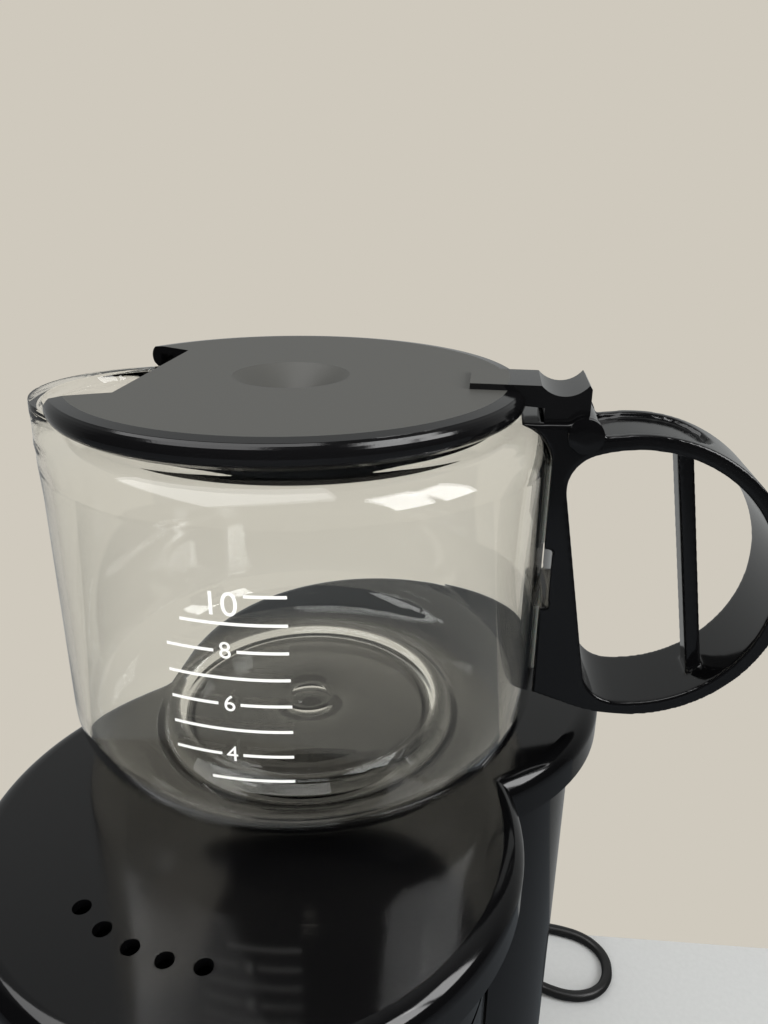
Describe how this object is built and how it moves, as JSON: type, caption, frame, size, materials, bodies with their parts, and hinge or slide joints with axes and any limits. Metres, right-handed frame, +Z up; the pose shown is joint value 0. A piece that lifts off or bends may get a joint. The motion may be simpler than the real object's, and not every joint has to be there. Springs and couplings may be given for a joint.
{
  "type": "drip coffee maker",
  "caption": "Compact double-round drip coffee maker with a swing-out filter holder, a flip-up top cover and a lidded glass jug standing on top.",
  "frame": {"origin": "axis of the front column and hot plate, on the surface the machine stands on", "axes": "+Z up, -Y towards the front, +X to the machine's right"},
  "size_m": [0.2538, 0.3718, 0.4305],
  "materials": {
    "foot_ring_front": "matt",
    "foot_ring_rear": "matt",
    "bottom_cover": "fine grain",
    "base_screws": "zinc plated",
    "base_housing": "gloss",
    "hot_plate": "non-stick coating",
    "plate_seal": "matt silicone",
    "heater": "cast",
    "heater_strap": "zinc plated",
    "strap_nut": "zinc plated",
    "thermostat": "ceramic body",
    "thermal_fuse": "glass-fibre sleeve",
    "inlet_hose": "milky silicone",
    "check_valve": "natural nylon",
    "outlet_hose": "milky silicone",
    "riser_tube": "natural plastic",
    "tower_housing": "gloss",
    "level_window": "clear plastic",
    "water_tank": "translucent smoke",
    "upper_housing": "gloss",
    "outlet_arm": "natural plastic",
    "water_spreader": "natural plastic",
    "cover_pin": "ground",
    "top_cover": "high gloss",
    "holder_pin": "ground",
    "filter_holder": "gloss",
    "filter_insert": "natural plastic",
    "valve_cage": "natural plastic",
    "valve_stem": "natural plastic",
    "valve_seal": "silicone",
    "valve_spring": "spring wire",
    "switch_body": "fine grain",
    "switch_rocker": "gloss",
    "indicator_lens": "clear red",
    "terminal_block": "satin",
    "strain_relief": "matt",
    "power_cord": "satin PVC",
    "cord_coil": "satin PVC",
    "mains_plug": "satin",
    "jug_glass": "clear",
    "handle_bond": "clear silicone",
    "jug_handle": "gloss",
    "jug_lid": "satin top, gloss rim",
    "lid_pin": "polished"
  },
  "bodies": {
    "machine": {"foot_ring_front": "foot_ring_front", "foot_ring_rear": "foot_ring_rear", "bottom_cover": "bottom_cover", "base_screws": "base_screws", "base_housing": "base_housing", "hot_plate": "hot_plate", "plate_seal": "plate_seal", "heater": "heater", "heater_strap": "heater_strap", "strap_nut": "strap_nut", "thermostat": "thermostat", "thermal_fuse": "thermal_fuse", "inlet_hose": "inlet_hose", "check_valve": "check_valve", "outlet_hose": "outlet_hose", "riser_tube": "riser_tube", "tower_housing": "tower_housing", "level_window": "level_window", "water_tank": "water_tank", "upper_housing": "upper_housing", "outlet_arm": "outlet_arm", "water_spreader": "water_spreader", "cover_pin": "cover_pin", "holder_pin": "holder_pin", "switch_body": "switch_body", "indicator_lens": "indicator_lens", "terminal_block": "terminal_block", "strain_relief": "strain_relief", "power_cord": "power_cord", "cord_coil": "cord_coil", "mains_plug": "mains_plug"},
    "cover": {"top_cover": "top_cover"},
    "holder": {"filter_holder": "filter_holder", "filter_insert": "filter_insert", "valve_cage": "valve_cage", "valve_spring": "valve_spring"},
    "valve": {"valve_stem": "valve_stem", "valve_seal": "valve_seal"},
    "rocker": {"switch_rocker": "switch_rocker"},
    "jug": {"jug_glass": "jug_glass", "handle_bond": "handle_bond", "jug_handle": "jug_handle", "lid_pin": "lid_pin"},
    "lid": {"jug_lid": "jug_lid"}
  },
  "joints": [
    {"name": "cover_open", "type": "hinge", "parent": "machine", "child": "cover", "pos_m": [0, 0.165, 0.288], "axis": [-1, 0, 0], "range_deg": [0, 80]},
    {"name": "holder_swing", "type": "hinge", "parent": "machine", "child": "holder", "pos_m": [-0.05789, 0.04768, 0.162], "axis": [0, 0, -1], "range_deg": [0, 95]},
    {"name": "drip_stop", "type": "slide", "parent": "holder", "child": "valve", "axis": [0, 0, 1], "range_m": [0, 0.005], "stiffness_N_per_m": 300, "springref_m": -0.004, "deforming": ["valve_spring"]},
    {"name": "power_switch", "type": "hinge", "parent": "machine", "child": "rocker", "pos_m": [0.04925, -0.0547, 0.021], "axis": [0, 0, 1], "range_deg": [0, 20]},
    {"name": "jug_lift", "type": "slide", "parent": "cover", "child": "jug", "axis": [0, 0, 1], "range_m": [0, 0.15]},
    {"name": "lid_open", "type": "hinge", "parent": "jug", "child": "lid", "pos_m": [0.06568, 0.07972, 0.4173], "axis": [-0.3256, 0.9455, 0], "range_deg": [0, 85]}
  ]
}
